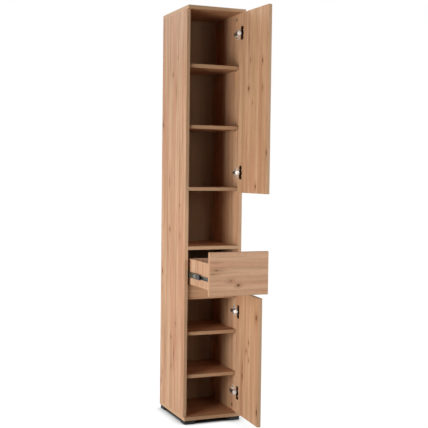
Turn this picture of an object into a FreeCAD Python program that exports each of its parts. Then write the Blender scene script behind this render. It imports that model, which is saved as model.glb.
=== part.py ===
"""Tall narrow bathroom cabinet in wood-decor board, doors open and drawer out.

Frame: origin on the floor under the centre of the carcass, X to the right as
seen from the front, Y to the back, Z up, millimetres.
"""
import FreeCAD, Part
import math
import os

from FreeCAD import Vector

# --- carcass ---------------------------------------------------------------
WIDTH = 282.0              # outside of left side to outside of right side
SIDE_DEPTH = 326.0         # front edge to back edge of the side boards
HEIGHT = 1910.0            # floor to top of the top board
BOARD = 16.0               # all decor boards
FOOT_HEIGHT = 18.0
EDGE_ROUND = 0.8           # rounding of the edge banding
BACK_THICK = 3.0
BACK_INSET = 12.5          # back edge of the sides to the back face of the panel
GROOVE_DEPTH = 6.0
GROOVE_PLAY = 0.15         # air on each face and end of a panel in its groove

# tops of the shelves above the floor
LOWER_LOOSE_TOPS = (225.0, 424.0)
DRAWER_FLOOR_TOP = 591.0
FLOOR_RAIL_HIGH = 67.5     # upright board in front of the drawer floor shelf
FLOOR_RAIL_SETBACK = 13.0
FLOOR_RAIL_DOWEL = 16.0    # its dowels from its lower and upper edges
DRAWER_ROOF_TOP = 820.0
NICHE_ROOF_TOP = 1091.0
UPPER_LOOSE_TOPS = (1374.0, 1651.0)
LOOSE_SETBACK = 10.0       # front edge of a loose shelf behind the side edges
LOOSE_PLAY = 0.75          # each end of a loose shelf
BACK_PLAY = 1.0            # shelves in front of the back panel

# --- doors and drawer front ------------------------------------------------
FRONT = 16.0               # thickness of doors and drawer front
FRONT_GAP = 1.0            # bumper gap between side edges and closed fronts
REVEAL_SIDE = 2.0          # closed front inside the outer width, each side
REVEAL_END = 2.0           # closed door to top board, bottom board or shelf line
UPPER_DOOR_UNDER = 8.0     # upper door's lower edge below the niche roof shelf
LOWER_DOOR_OVER = 18.0     # lower door's upper edge above the drawer floor shelf
FINGER_GAP = 19.0          # lower door to drawer front
UPPER_OPEN = 93.0          # photographed opening angles, degrees
LOWER_OPEN = 87.0
DRAWER_OUT = 278.0         # photographed pull-out

# --- concealed hinges, places from the right side's inner face and front edge
UPPER_HINGE_END = 92.5     # hinge centre to the near end of its door
LOWER_HINGE_END = 96.0
CUP_EDGE = 24.0            # cup centre from the door's hinge edge
CUP_R = 17.5
CUP_DEPTH = 11.5
CUP_WALL = 1.0
CUP_PLAY = 0.1
FLANGE = (24.0, 62.0, 1.0)       # along the door's width, height, thickness
CUP_SCREW_SPACING = 48.0
CUP_SCREW_OFFSET = 5.5           # screws from the cup centre, away from the edge
CUP_SCREW_BITE = 11.0
CUP_PIN_HALF = 10.8              # half length of the outer link's pin in the cup
FLANGE_OFFSET = 4.0              # flange centre from the cup centre, away from the edge
FLANGE_ROUND = 6.0
FLANGE_BAND = 2.0                # flange kept at the top and bottom of the cup's mouth
ARM_PIVOT = (19.9, 4.6)          # inward from the inner face, behind the edge
CUP_PIVOT = (-2.7, -3.0)
INNER_ARM_PIVOT = (23.1, -5.0)
INNER_CUP_POINT = (1.5, -3.0)
LINK_SHARE = -0.42               # link turn per degree of door opening
LINK_KNEE = (4.7, -2.8)          # bend of the outer link, from the cup pivot
PIN_R = 0.9
PIN_PLAY = 0.05
EYE_R = 1.6
INNER_EYE_R = 1.4
LINK_T = 1.6
INNER_LINK_T = 1.4
INNER_LINK_HALF = 2.0            # half width along the pins
LINK_HALF = 3.8
LINK_PLATE = 1.4
ARM_HALF = 5.4
ARM_WALL = 1.2
ARM_TOP = 23.0                   # arm's web above the side's inner face
ARM_TAIL = 13.0                  # the same at its back end
ARM_BACK = 51.0
ARM_WEB_FRONT = 9.0
ARM_BEND = 20.0                  # where the web starts to slope
ARM_ROOT = 6.8                   # height of the cheeks where they leave the web
PLATE_HIGH = 9.0                 # mounting plate under the arm
PLATE_BODY_HALF = 8.0            # half width of its raised body
PLATE_BODY_FRONT = 24.0
PLATE_BASE = 3.0
PLATE_WING = 24.0                # half height of the wings
PLATE_WING_HALF = 7.0            # half width of the wings
PLATE_ROUND = 4.0
HINGE_HEAD = (3.4, 1.5)          # radius and height of the hinge screws' heads
PLATE_SCREW_SPACING = 32.0
PLATE_SCREW_Y = 37.0

# --- drawer ----------------------------------------------------------------
DRAWER_SIDE = 12.0
DRAWER_SIDE_UP = 18.0            # sides' lower edge above the front's lower edge
DRAWER_SIDE_HIGH = 117.0
DRAWER_BASE = 3.0
DRAWER_BASE_UP = 10.0            # underside of the base above the sides' edge
DRAWER_GROOVE = 5.0
BOX_CAM_DEPTH = 9.5
BOX_CAM_UP = 30.0                # lower cam above the drawer side's lower edge
BOX_CAM_DOWN = 25.0              # upper cam below its upper edge
BACK_SCREW_UP = 35.0             # screws of the drawer back, from the same edges
BACK_SCREW_DOWN = 20.0
BACK_SCREW_LONG = 35.0
BACK_SCREW_HEAD_R = 3.5
RUNNER_GAP = 12.5                # cabinet side to drawer side
RUNNER_UP = 46.0                 # runner's middle above the sides' lower edge
RUNNER_LONG = 300.0
RUNNER_SETBACK = 2.0
RUNNER_END = 2.0                 # drawer sides past the inner rails' back ends
SHEET = 1.2
RAIL_HALF = (15.8, 11.8, 7.6)    # outer, middle, inner rail half heights
RAIL_REACH = (9.5, 8.1, 7.5)     # flange widths of the three rails
MIDDLE_STAND = 2.4               # middle rail's web from the cabinet side
MIDDLE_SHORT = 43.0              # middle rail shorter than the others
MIDDLE_SETBACK = 44.0
MIDDLE_HOLE = (20.0, 2.2)        # from its front end, radius
CAGE_SHEET = 0.6
CAGE_GAP = 0.3
BALL_R = 1.25
OUTER_CAGE = (89.5, 120.0)       # front end behind the side edge, length
INNER_CAGE = (121.0, 104.0)
BALL_PITCH = 12.0
STOP_LONG = 39.0                 # plastic end piece ahead of the middle rail
STOP_PLUG = 1.6                  # length of its plug in the rail
STOP_WEB = 2.2
STOP_AIR = 0.4                   # around the inner rail's flanges
RAIL_SCREW_FRONT = 35.0          # runner screws from the rail's ends
RAIL_SCREW_BACK = 60.0
RAIL_HEAD_R = 3.2
RAIL_HEAD_STAND = 0.2            # outer rail's screw heads above its web
BOX_SCREW_BITE = 9.0

# --- fittings --------------------------------------------------------------
CAM_R = 7.5
CAM_THICK = 12.0
CAM_EDGE = 24.0                  # cam centre from the end of its board
CAM_INSET = 50.0                 # cams and dowels from the board edges
DOWEL_STEP = 32.0                # dowel beside its cam
DOWEL_R = 4.0
DOWEL_IN = (22.0, 12.0)          # in the end grain, in the face
BOLT_R = 3.0
BOLT_FACE = 11.0                 # bolt's thread in the face
BOLT_SEAT = 2.5                  # bolt's end short of the cam's centre
PIN_SHELF_R = 2.5
PIN_SHELF_IN = 9.0
PIN_SHELF_OUT = 7.0
SHELF_PIN_INSET = 45.0
SCREW_R = 2.0
SCREW_BITE = 12.0                # thread in a board
SCREW_HEAD = 3.0                 # height of a countersunk head
SLOT_HALF = (0.8, 3.5, 0.6)      # half depth, half length, half width of a slot
TOOL_PAST = 1.0                  # cutting tools past the face that they cut
FOOT = 52.0
FOOT_INSET_X = 3.0
FOOT_INSET_Y = 5.0
FOOT_ROUND = 4.0
FOOT_WELL = 6.0                  # depth of the well for the foot's screw
FOOT_WELL_PLAY = 0.5
BUMPER_R = 4.0
BUMPER_END = 25.0                # bumpers from the ends of their front
BUMPER_AIR = 0.3

# --- wall angle ------------------------------------------------------------
ANGLE_LEG = 28.0
ANGLE_WIDE = 20.0
ANGLE_SHEET = 2.0
ANGLE_HOLE_R = 2.75
ANGLE_HOLE_UP = 16.0             # hole above the top board
ANGLE_SCREW_IN = 22.0            # board screw from the back edge
ANGLE_HEAD_R = 3.8

# --- worked out ------------------------------------------------------------
HALF = WIDTH / 2
INNER_HALF = HALF - BOARD
REACH = FRONT + FRONT_GAP                 # top and bottom boards past the sides
DEPTH = SIDE_DEPTH + REACH
FRONT_Y = -DEPTH / 2                      # front of top and bottom boards
SIDE_Y = FRONT_Y + REACH                  # front edges of the sides
BACK_Y = DEPTH / 2
FLOOR_Z = FOOT_HEIGHT                     # underside of the bottom board
BASE_TOP = FLOOR_Z + BOARD
ROOF_UNDER = HEIGHT - BOARD
PANEL_FRONT = BACK_Y - BACK_INSET - BACK_THICK
SHELF_BACK = PANEL_FRONT - BACK_PLAY
FRONT_HALF = HALF - REVEAL_SIDE
DOOR_IN = SIDE_Y - FRONT_GAP              # inner face of a closed front
DOOR_OUT = DOOR_IN - FRONT
UPPER_DOOR = (NICHE_ROOF_TOP - BOARD - UPPER_DOOR_UNDER, ROOF_UNDER - REVEAL_END)
LOWER_DOOR = (BASE_TOP + REVEAL_END, DRAWER_FLOOR_TOP + LOWER_DOOR_OVER)
DRAWER_FRONT_BOTTOM = LOWER_DOOR[1] + FINGER_GAP
DRAWER_FRONT_TOP = DRAWER_ROOF_TOP - REVEAL_END
BOX_HALF = INNER_HALF - RUNNER_GAP        # outer faces of the drawer box
DRAWER_SIDE_BOTTOM = DRAWER_FRONT_BOTTOM + DRAWER_SIDE_UP
DRAWER_SIDE_LONG = FRONT_GAP + RUNNER_SETBACK + RUNNER_LONG + RUNNER_END
BOX_TOP = DRAWER_SIDE_BOTTOM + DRAWER_SIDE_HIGH
RUNNER_Z = DRAWER_SIDE_BOTTOM + RUNNER_UP
MIDDLE_LONG = RUNNER_LONG - MIDDLE_SHORT
PULL = Vector(0, -DRAWER_OUT, 0)
Z_AXIS = Vector(0, 0, 1)


def box(low, high):
    """Block between two corners."""
    size = [b - a for a, b in zip(low, high)]
    return Part.makeBox(size[0], size[1], size[2], Vector(*low))


def rod(start, end, radius):
    """Cylinder from one point to another."""
    start, end = Vector(*start), Vector(*end)
    return Part.makeCylinder(radius, (end - start).Length, start, end - start)


def eased(shape, direction, radius):
    """Rounds the edges that run along one axis."""
    along = [e for e in shape.Edges if len(e.Vertexes) == 2
             and abs(abs(e.tangentAt(e.FirstParameter).dot(direction)) - 1) < 1e-6]
    return shape.makeFillet(radius, along)


def save(name, shapes, move=None):
    """Writes one node, moved to its rest place."""
    solids = [s.copy() for s in (shapes if isinstance(shapes, list) else [shapes])]
    if move is not None:
        solids = [move(s) for s in solids]
    node = solids[0] if len(solids) == 1 else Part.makeCompound(solids)
    node.exportStep("parts/" + name + ".step")


def cut_all(shape, tools):
    """Takes a list of tools out of a shape."""
    return shape.cut(tools) if tools else shape


# --- shelf joints ----------------------------------------------------------
def joint_rows():
    """Y of the front and back cam in every board joint."""
    return SIDE_Y + CAM_INSET, SHELF_BACK - CAM_INSET


def dowel_rows():
    front, back = joint_rows()
    return front + DOWEL_STEP, back - DOWEL_STEP


def fixed_levels():
    """Mid heights of the shelves that are bolted between the sides."""
    return [top - BOARD / 2 for top in (DRAWER_FLOOR_TOP, DRAWER_ROOF_TOP, NICHE_ROOF_TOP)]


def shelf_fittings():
    """Cams, bolts and dowels of the three fixed shelves."""
    cams, bolts, dowels = [], [], []
    for z in fixed_levels():
        for side in (-1, 1):
            face = side * INNER_HALF
            for y in joint_rows():
                centre = Vector(face - side * CAM_EDGE, y, z - BOARD / 2)
                cams.append(Part.makeCylinder(CAM_R, CAM_THICK, centre))
                bolts.append(rod((face + side * BOLT_FACE, y, z),
                                 (face - side * (CAM_EDGE - BOLT_SEAT), y, z), BOLT_R))
            for y in dowel_rows():
                dowels.append(rod((face + side * DOWEL_IN[1], y, z),
                                  (face - side * DOWEL_IN[0], y, z), DOWEL_R))
    return cams, bolts, dowels


def end_fittings():
    """Cams, bolts and dowels that hold the top and bottom boards on the sides."""
    cams, bolts, dowels = [], [], []
    for z, up in ((BASE_TOP, 1), (ROOF_UNDER, -1)):
        for side in (-1, 1):
            x = side * (HALF - BOARD / 2)
            for y in joint_rows():
                centre = Vector(side * INNER_HALF, y, z + up * CAM_EDGE)
                cams.append(Part.makeCylinder(CAM_R, CAM_THICK, centre, Vector(side, 0, 0)))
                bolts.append(rod((x, y, z - up * BOLT_FACE),
                                 (x, y, z + up * (CAM_EDGE - BOLT_SEAT)), BOLT_R))
            for y in dowel_rows():
                dowels.append(rod((x, y, z - up * DOWEL_IN[1]),
                                  (x, y, z + up * DOWEL_IN[0]), DOWEL_R))
    return cams, bolts, dowels


def loose_pins():
    """Steel pins under the loose shelves, four each."""
    pins = []
    for top in LOWER_LOOSE_TOPS + UPPER_LOOSE_TOPS:
        z = top - BOARD - PIN_SHELF_R
        for side in (-1, 1):
            for y in (SIDE_Y + SHELF_PIN_INSET, SHELF_BACK - SHELF_PIN_INSET):
                pins.append(rod((side * (INNER_HALF + PIN_SHELF_IN), y, z),
                                (side * (INNER_HALF - PIN_SHELF_OUT), y, z), PIN_SHELF_R))
    return pins


# --- boards ----------------------------------------------------------------
def panel_space():
    """Room that the back panel takes in its grooves."""
    half = INNER_HALF + GROOVE_DEPTH
    return box((-half, PANEL_FRONT - GROOVE_PLAY, BASE_TOP - GROOVE_DEPTH),
               (half, PANEL_FRONT + BACK_THICK + GROOVE_PLAY, ROOF_UNDER + GROOVE_DEPTH))


def back_panel():
    half = INNER_HALF + GROOVE_DEPTH - GROOVE_PLAY
    low = BASE_TOP - GROOVE_DEPTH + GROOVE_PLAY
    high = ROOF_UNDER + GROOVE_DEPTH - GROOVE_PLAY
    return box((-half, PANEL_FRONT, low), (half, PANEL_FRONT + BACK_THICK, high))


def side_board(side):
    outer, inner = side * HALF, side * INNER_HALF
    low = (min(outer, inner), SIDE_Y, BASE_TOP)
    high = (max(outer, inner), BACK_Y, ROOF_UNDER)
    return eased(box(low, high), Z_AXIS, EDGE_ROUND)


def end_board(bottom):
    """Top or bottom board, over the whole width and out to the fronts."""
    board = box((-HALF, FRONT_Y, bottom), (HALF, BACK_Y, bottom + BOARD))
    return eased(board, Vector(1, 0, 0), EDGE_ROUND)


def fixed_shelf(top, setback=0.0):
    board = box((-INNER_HALF, SIDE_Y + setback, top - BOARD), (INNER_HALF, SHELF_BACK, top))
    return eased(board, Vector(1, 0, 0), EDGE_ROUND)


def floor_rail():
    """Upright board across the front of the drawer floor shelf."""
    front = SIDE_Y + FLOOR_RAIL_SETBACK
    low = DRAWER_FLOOR_TOP - BOARD
    board = box((-INNER_HALF, front, low), (INNER_HALF, front + BOARD, low + FLOOR_RAIL_HIGH))
    return eased(board, Vector(1, 0, 0), EDGE_ROUND)


def floor_rail_dowels():
    """Two dowels at each end of the upright board."""
    dowels = []
    y = SIDE_Y + FLOOR_RAIL_SETBACK + BOARD / 2
    low = DRAWER_FLOOR_TOP - BOARD
    for z in (low + FLOOR_RAIL_DOWEL, low + FLOOR_RAIL_HIGH - FLOOR_RAIL_DOWEL):
        for side in (-1, 1):
            face = side * INNER_HALF
            dowels.append(rod((face + side * DOWEL_IN[1], y, z),
                              (face - side * DOWEL_IN[0], y, z), DOWEL_R))
    return dowels


def loose_shelf(top):
    half = INNER_HALF - LOOSE_PLAY
    board = box((-half, SIDE_Y + LOOSE_SETBACK, top - BOARD), (half, SHELF_BACK, top))
    return eased(board, Vector(1, 0, 0), EDGE_ROUND)


# --- feet ------------------------------------------------------------------
def foot_centre(side, end):
    x = side * (HALF - FOOT_INSET_X - FOOT / 2)
    y = end * (DEPTH / 2 - FOOT_INSET_Y - FOOT / 2)
    return x, y


def foot_screw(side, end):
    """Countersunk screw up through a foot into the bottom board."""
    x, y = foot_centre(side, end)
    neck = FOOT_WELL + SCREW_HEAD
    head = Part.makeCone(2 * SCREW_R, SCREW_R, SCREW_HEAD, Vector(x, y, FOOT_WELL))
    shank = rod((x, y, neck), (x, y, FLOOR_Z + SCREW_BITE), SCREW_R)
    return head.fuse(shank).removeSplitter()


def foot(side, end):
    x, y = foot_centre(side, end)
    block = box((x - FOOT / 2, y - FOOT / 2, 0), (x + FOOT / 2, y + FOOT / 2, FOOT_HEIGHT))
    block = eased(block, Z_AXIS, FOOT_ROUND)
    well = rod((x, y, 0), (x, y, FOOT_WELL), 2 * SCREW_R + FOOT_WELL_PLAY)
    return block.cut([well, foot_screw(side, end)])


# --- hinges ----------------------------------------------------------------
def cross_slot(centre):
    """Slot for a screwdriver in the head of a screw that runs along X."""
    depth, long, wide = SLOT_HALF
    bars = []
    for sizes in ((depth, long, wide), (depth, wide, long)):
        bars.append(box([c - s for c, s in zip(centre, sizes)],
                        [c + s for c, s in zip(centre, sizes)]))
    return bars


def at_hinge(place, z=0.0):
    """Point given from the right side's inner face and front edge."""
    return Vector(INNER_HALF - place[0], SIDE_Y + place[1], z)


def bar(a, b, thick, low, high):
    """Flat bar with round ends in the XY plane, between two heights."""
    span = b - a
    side = Vector(-span.y, span.x, 0).normalize() * (thick / 2)
    corners = [p + Z_AXIS * low for p in (a + side, b + side, b - side, a - side)]
    face = Part.Face(Part.makePolygon(corners + corners[:1]))
    body = face.extrude(Z_AXIS * (high - low))
    ends = [Part.makeCylinder(thick / 2, high - low, p + Z_AXIS * low) for p in (a, b)]
    return body.fuse(ends)


def pivot_pin(place, z, half, radius=PIN_R):
    return Part.makeCylinder(radius, 2 * half, at_hinge(place, z - half))


def outer_link(z):
    """Cranked outer link: two plates between two eyes."""
    a, b = at_hinge(ARM_PIVOT), at_hinge(CUP_PIVOT)
    knee = at_hinge((CUP_PIVOT[0] + LINK_KNEE[0], CUP_PIVOT[1] + LINK_KNEE[1]))
    parts = []
    for low in (z - LINK_HALF, z + LINK_HALF - LINK_PLATE):
        parts += [bar(a, knee, LINK_T, low, low + LINK_PLATE),
                  bar(knee, b, LINK_T, low, low + LINK_PLATE)]
    parts += [pivot_pin(p, z, LINK_HALF, EYE_R) for p in (ARM_PIVOT, CUP_PIVOT)]
    link = parts[0].fuse(parts[1:]).removeSplitter()
    holes = [pivot_pin(p, z, LINK_HALF + TOOL_PAST, PIN_R + PIN_PLAY)
             for p in (ARM_PIVOT, CUP_PIVOT)]
    return link.cut(holes)


def inner_link(z):
    """Inner link: pinned in the arm, free beside the cup's outer pivot."""
    a, b = at_hinge(INNER_ARM_PIVOT), at_hinge(INNER_CUP_POINT)
    tongue = bar(a, b, INNER_LINK_T, z - INNER_LINK_HALF, z + INNER_LINK_HALF)
    eye = pivot_pin(INNER_ARM_PIVOT, z, INNER_LINK_HALF, INNER_EYE_R)
    hole = pivot_pin(INNER_ARM_PIVOT, z, INNER_LINK_HALF + TOOL_PAST, PIN_R + PIN_PLAY)
    return tongue.fuse(eye).removeSplitter().cut(hole)


def arm_pins(z):
    return [pivot_pin(p, z, ARM_HALF) for p in (ARM_PIVOT, INNER_ARM_PIVOT)]


def arm_block(z, wall):
    """Arm's sloping outline as a block, smaller by a wall for its inside."""
    front = ARM_WEB_FRONT - (TOOL_PAST if wall else 0.0)
    back = ARM_BACK - wall
    profile = [(PLATE_HIGH, front), (ARM_TOP - wall, front), (ARM_TOP - wall, ARM_BEND),
               (ARM_TAIL - wall, back), (PLATE_HIGH, back)]
    half = ARM_HALF - wall
    corners = [at_hinge(place, z - half) for place in profile]
    return Part.Face(Part.makePolygon(corners + corners[:1])).extrude(Z_AXIS * 2 * half)


def hinge_arm(z):
    """Channel-shaped arm with two cheeks that carry the pins."""
    top = INNER_HALF - ARM_TOP
    front = SIDE_Y + ARM_WEB_FRONT
    arm = arm_block(z, 0.0).cut(arm_block(z, ARM_WALL))
    tip, heel = at_hinge(INNER_ARM_PIVOT), at_hinge(ARM_PIVOT)
    root = [Vector(top, front, 0), Vector(top + ARM_ROOT, front, 0)]
    outline = [tip + Vector(-INNER_EYE_R, 0, 0), root[0], root[1],
               heel + Vector(EYE_R, 0, 0), tip + Vector(INNER_EYE_R, 0, 0)]
    cheeks = []
    for low in (z - ARM_HALF, z + ARM_HALF - ARM_WALL):
        corners = [p + Z_AXIS * low for p in outline]
        plate = Part.Face(Part.makePolygon(corners + corners[:1])).extrude(Z_AXIS * ARM_WALL)
        nose = Part.makeCylinder(INNER_EYE_R, ARM_WALL, tip + Z_AXIS * low)
        cheeks.append(plate.fuse(nose))
    return arm.fuse(cheeks).removeSplitter().cut(arm_pins(z))


def plate_screws(z):
    """Screws of one mounting plate, heads on its wings."""
    screws = []
    y = SIDE_Y + PLATE_SCREW_Y
    face = INNER_HALF - PLATE_BASE
    for dz in (-PLATE_SCREW_SPACING / 2, PLATE_SCREW_SPACING / 2):
        top = face - HINGE_HEAD[1]
        head = rod((top, y, z + dz), (face, y, z + dz), HINGE_HEAD[0])
        shank = rod((face, y, z + dz), (INNER_HALF + SCREW_BITE, y, z + dz), SCREW_R)
        slot = cross_slot((top, y, z + dz))
        screws.append(head.fuse(shank).removeSplitter().cut(slot))
    return screws


def mounting_plate(z):
    """Cross-shaped plate screwed to the side, with the rail under the arm."""
    y = SIDE_Y + PLATE_SCREW_Y
    x = INNER_HALF
    rail = box((x - PLATE_HIGH, SIDE_Y + ARM_WEB_FRONT, z - ARM_HALF),
               (x, SIDE_Y + ARM_BACK, z + ARM_HALF))
    body = box((x - PLATE_HIGH, SIDE_Y + PLATE_BODY_FRONT, z - PLATE_BODY_HALF),
               (x, SIDE_Y + ARM_BACK, z + PLATE_BODY_HALF))
    rail = rail.fuse(body)
    wings = box((x - PLATE_BASE, y - PLATE_WING_HALF, z - PLATE_WING),
                (x, y + PLATE_WING_HALF, z + PLATE_WING))
    wings = eased(wings, Vector(1, 0, 0), PLATE_ROUND)
    return rail.fuse(wings).removeSplitter().cut(plate_screws(z))


def cup_centre(z):
    return Vector(FRONT_HALF - CUP_EDGE, DOOR_IN, z)


def cup_screws(z):
    screws = []
    centre = cup_centre(z)
    x = centre.x - CUP_SCREW_OFFSET
    face = DOOR_IN + FLANGE[2]
    for dz in (-CUP_SCREW_SPACING / 2, CUP_SCREW_SPACING / 2):
        head = rod((x, face + HINGE_HEAD[1], z + dz), (x, face, z + dz), HINGE_HEAD[0])
        shank = rod((x, face, z + dz), (x, DOOR_IN - CUP_SCREW_BITE, z + dz), SCREW_R)
        screws.append(head.fuse(shank).removeSplitter())
    return screws


def cup_pin(z):
    """Pin of the outer link, held in the cup's wall at both ends."""
    return pivot_pin(CUP_PIVOT, z, CUP_PIN_HALF)


def hinge_cup(z):
    """Pressed cup with two screw wings, open towards the arm."""
    centre = cup_centre(z)
    into = Vector(0, -1, 0)
    bowl = Part.makeCylinder(CUP_R - CUP_PLAY, CUP_DEPTH, centre, into)
    long, high, thick = FLANGE
    wings = box((centre.x - long / 2 - FLANGE_OFFSET, DOOR_IN, z - high / 2),
                (centre.x + long / 2 - FLANGE_OFFSET, DOOR_IN + thick, z + high / 2))
    wings = eased(wings, Vector(0, 1, 0), FLANGE_ROUND)
    room = Part.makeCylinder(CUP_R - CUP_WALL - CUP_PLAY, CUP_DEPTH - CUP_WALL + thick,
                             centre + Vector(0, thick, 0), into)
    pass_way = box((centre.x - long, DOOR_IN, z - CUP_R + FLANGE_BAND),
                   (centre.x + long, DOOR_IN + thick, z + CUP_R - FLANGE_BAND))
    cup = bowl.fuse(wings.cut(pass_way)).cut(room)
    return cup.cut(cup_screws(z) + [cup_pin(z)])


def cup_bore(z):
    return Part.makeCylinder(CUP_R, CUP_DEPTH + CUP_PLAY, cup_centre(z), Vector(0, -1, 0))


def door_board(span, hinges):
    board = box((-FRONT_HALF, DOOR_OUT, span[0]), (FRONT_HALF, DOOR_IN, span[1]))
    board = eased(board, Z_AXIS, EDGE_ROUND)
    tools = [cup_bore(z) for z in hinges]
    for z in hinges:
        tools += cup_screws(z)
    return board.cut(tools)


def hinge_heights(span, end):
    return span[0] + end, span[1] - end


def turn(centre, angle):
    """Mover that turns a shape about a vertical axis."""
    def move(shape):
        return shape.rotate(centre, Z_AXIS, angle)
    return move


def link_pose(opening):
    return turn(at_hinge(ARM_PIVOT), LINK_SHARE * opening)


def inner_link_pose(opening):
    """Inner link set so that its tip meets the cup point at this opening."""
    start = at_hinge(INNER_CUP_POINT) - at_hinge(INNER_ARM_PIVOT)
    tip = Part.Vertex(at_hinge(INNER_CUP_POINT))
    now = door_pose(opening)(tip).Point - at_hinge(INNER_ARM_PIVOT)
    angle = math.degrees(math.atan2(now.y, now.x) - math.atan2(start.y, start.x))
    return turn(at_hinge(INNER_ARM_PIVOT), angle)


def door_pose(opening):
    """Door turned about its cup pivots, carried by the links."""
    def move(shape):
        shape = turn(at_hinge(CUP_PIVOT), (1 - LINK_SHARE) * opening)(shape)
        return link_pose(opening)(shape)
    return move


def build_door(name, span, end, opening):
    hinges = hinge_heights(span, end)
    carry = door_pose(opening)
    save(name + "_door", door_board(span, hinges), carry)
    save(name + "_hinge_cups", [hinge_cup(z) for z in hinges], carry)
    save(name + "_cup_pins", [cup_pin(z) for z in hinges], carry)
    save(name + "_cup_screws", [s for z in hinges for s in cup_screws(z)], carry)
    save(name + "_outer_links", [outer_link(z) for z in hinges], link_pose(opening))
    save(name + "_inner_links", [inner_link(z) for z in hinges], inner_link_pose(opening))


# --- runners ---------------------------------------------------------------
def channel(side, stand, half, reach, front, long, sheet=SHEET):
    """Rail: web on edge with two flanges towards the drawer or the cabinet."""
    web = INNER_HALF - stand
    tip = web - reach
    outer = box((min(web, tip), front, RUNNER_Z - half),
                (max(web, tip), front + long, RUNNER_Z + half))
    step = sheet if reach > 0 else -sheet
    inside = box((min(web - step, tip - step), front - TOOL_PAST, RUNNER_Z - half + sheet),
                 (max(web - step, tip - step), front + long + TOOL_PAST,
                  RUNNER_Z + half - sheet))
    rail = outer.cut(inside)
    return rail if side > 0 else rail.mirror(Vector(0, 0, 0), Vector(1, 0, 0))


def outer_rail(side):
    rail = channel(side, 0, RAIL_HALF[0], RAIL_REACH[0], SIDE_Y + RUNNER_SETBACK, RUNNER_LONG)
    return rail.cut(rail_screws(side))


def middle_rail(side):
    front = SIDE_Y + MIDDLE_SETBACK
    rail = channel(side, MIDDLE_STAND, RAIL_HALF[1], RAIL_REACH[1], front, MIDDLE_LONG)
    y = front + MIDDLE_HOLE[0]
    hole = rod((side * BOX_HALF, y, RUNNER_Z), (side * INNER_HALF, y, RUNNER_Z), MIDDLE_HOLE[1])
    return rail.cut(hole)


def inner_rail(side):
    rail = channel(side, RUNNER_GAP, RAIL_HALF[2], -RAIL_REACH[2],
                   SIDE_Y + RUNNER_SETBACK, RUNNER_LONG)
    return rail.cut(box_screws(side))


def rail_screw_rows():
    front = SIDE_Y + RUNNER_SETBACK
    return front + RAIL_SCREW_FRONT, front + RUNNER_LONG - RAIL_SCREW_BACK


def rail_screws(side):
    """Flat screws of the outer rail into the cabinet side."""
    screws = []
    for y in rail_screw_rows():
        high = SHEET + RAIL_HEAD_STAND
        start = Vector(side * (INNER_HALF - high), y, RUNNER_Z)
        head = Part.makeCone(RAIL_HEAD_R, SCREW_R, high, start, Vector(side, 0, 0))
        shank = Part.makeCylinder(SCREW_R, SCREW_BITE, Vector(side * INNER_HALF, y, RUNNER_Z),
                                  Vector(side, 0, 0))
        screws.append(head.fuse(shank).removeSplitter())
    return screws


def box_screws(side):
    """Flat screws of the inner rail into the drawer side."""
    screws = []
    for y in rail_screw_rows():
        start = Vector(side * (BOX_HALF + SHEET), y, RUNNER_Z)
        head = Part.makeCone(RAIL_HEAD_R, SCREW_R, SHEET, start, Vector(-side, 0, 0))
        shank = Part.makeCylinder(SCREW_R, BOX_SCREW_BITE, Vector(side * BOX_HALF, y, RUNNER_Z),
                                  Vector(-side, 0, 0))
        screws.append(head.fuse(shank).removeSplitter())
    return screws


def ball_cage(side, outside, inside, stand, reach, place):
    """Retainer with its balls between two nested rails."""
    gap = outside - SHEET - inside
    middle = inside + gap / 2
    front = SIDE_Y + place[0]
    half = middle + CAGE_SHEET / 2
    cage = channel(1, stand, half, reach, front, place[1], CAGE_SHEET)
    balls = []
    count = int(place[1] // BALL_PITCH)
    x = INNER_HALF - stand - reach + 2 * BALL_R
    for i in range(count):
        y = front + BALL_PITCH * (i + 0.5)
        balls += [Part.makeSphere(BALL_R, Vector(x, y, RUNNER_Z + s * middle)) for s in (-1, 1)]
    cage = cage.fuse(balls).removeSplitter()
    return cage if side > 0 else cage.mirror(Vector(0, 0, 0), Vector(1, 0, 0))


def rail_stop(side):
    """Black plastic end piece ahead of the middle rail, around the inner rail's way."""
    web = INNER_HALF - MIDDLE_STAND
    back = SIDE_Y + MIDDLE_SETBACK
    half, inner = RAIL_HALF[1], RAIL_HALF[2] + STOP_AIR
    block = box((web - RAIL_REACH[1], back - STOP_LONG, RUNNER_Z - half),
                (web, back, RUNNER_Z + half))
    plug = box((web - STOP_WEB, back, RUNNER_Z - half + SHEET),
               (web - SHEET, back + STOP_PLUG, RUNNER_Z + half - SHEET))
    way = box((web - RAIL_REACH[1] - TOOL_PAST, back - STOP_LONG - TOOL_PAST, RUNNER_Z - inner),
              (web - STOP_WEB, back + TOOL_PAST, RUNNER_Z + inner))
    stop = block.cut(way).fuse(plug).removeSplitter()
    return stop if side > 0 else stop.mirror(Vector(0, 0, 0), Vector(1, 0, 0))


def outer_cage(side):
    return ball_cage(side, RAIL_HALF[0], RAIL_HALF[1], SHEET + CAGE_GAP,
                     RAIL_REACH[0] - SHEET - 2 * CAGE_GAP, OUTER_CAGE)


def inner_cage(side):
    return ball_cage(side, RAIL_HALF[1], RAIL_HALF[2], MIDDLE_STAND + SHEET + CAGE_GAP,
                     RAIL_REACH[1] - SHEET - 2 * CAGE_GAP, INNER_CAGE)


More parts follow.
